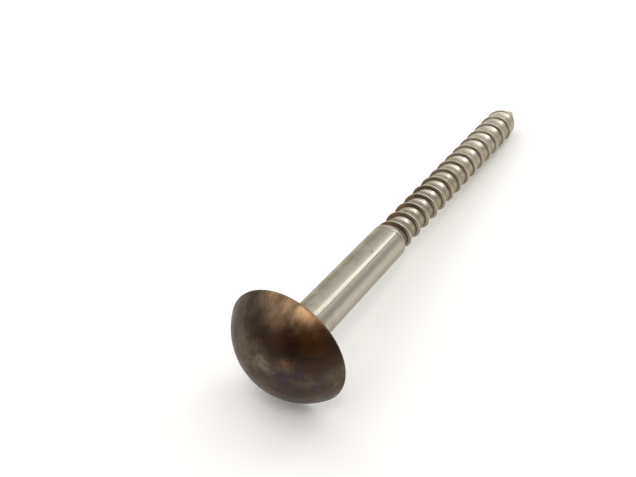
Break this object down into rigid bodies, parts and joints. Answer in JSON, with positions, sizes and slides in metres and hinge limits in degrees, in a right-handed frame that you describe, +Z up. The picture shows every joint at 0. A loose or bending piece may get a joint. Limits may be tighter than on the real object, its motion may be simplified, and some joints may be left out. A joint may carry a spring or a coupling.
{
  "type": "wood screw",
  "caption": "Wood screw with a plain domed cover cap that screws into its slotted countersunk head, a plain shank, a coarse thread and a plain cone point.",
  "frame": {"origin": "on the screw's axis, in the plane of the dome's rim, which is the face that bears on the work", "axes": "+Y along the screw towards its point, +Z up, and the dome's crown towards -Y"},
  "size_m": [0.016, 0.0687, 0.016],
  "materials": {
    "nickel": "nickel plate, drawn and worn",
    "bronze": "heat-tinted brown bronze, satin",
    "brass": "machined",
    "braze": "as flowed"
  },
  "bodies": {
    "screw": {"wood_screw": "nickel"},
    "cap_travel": {"braze_fillet": "braze"},
    "cap": {"dome_shell": "bronze", "cap_stud": "brass"}
  },
  "joints": [
    {"name": "cap_lift", "type": "slide", "parent": "screw", "child": "cap_travel", "axis": [0, -1, 0], "range_m": [0, 0.006]},
    {"name": "cap_turn", "type": "hinge", "parent": "cap_travel", "child": "cap", "pos_m": [0, 0, 0], "axis": [0, -1, 0], "range_deg": [0, 3600]}
  ],
  "couplings": [
    {"joint": "cap_turn", "follows": "cap_lift", "rad_per_m": 10472}
  ]
}
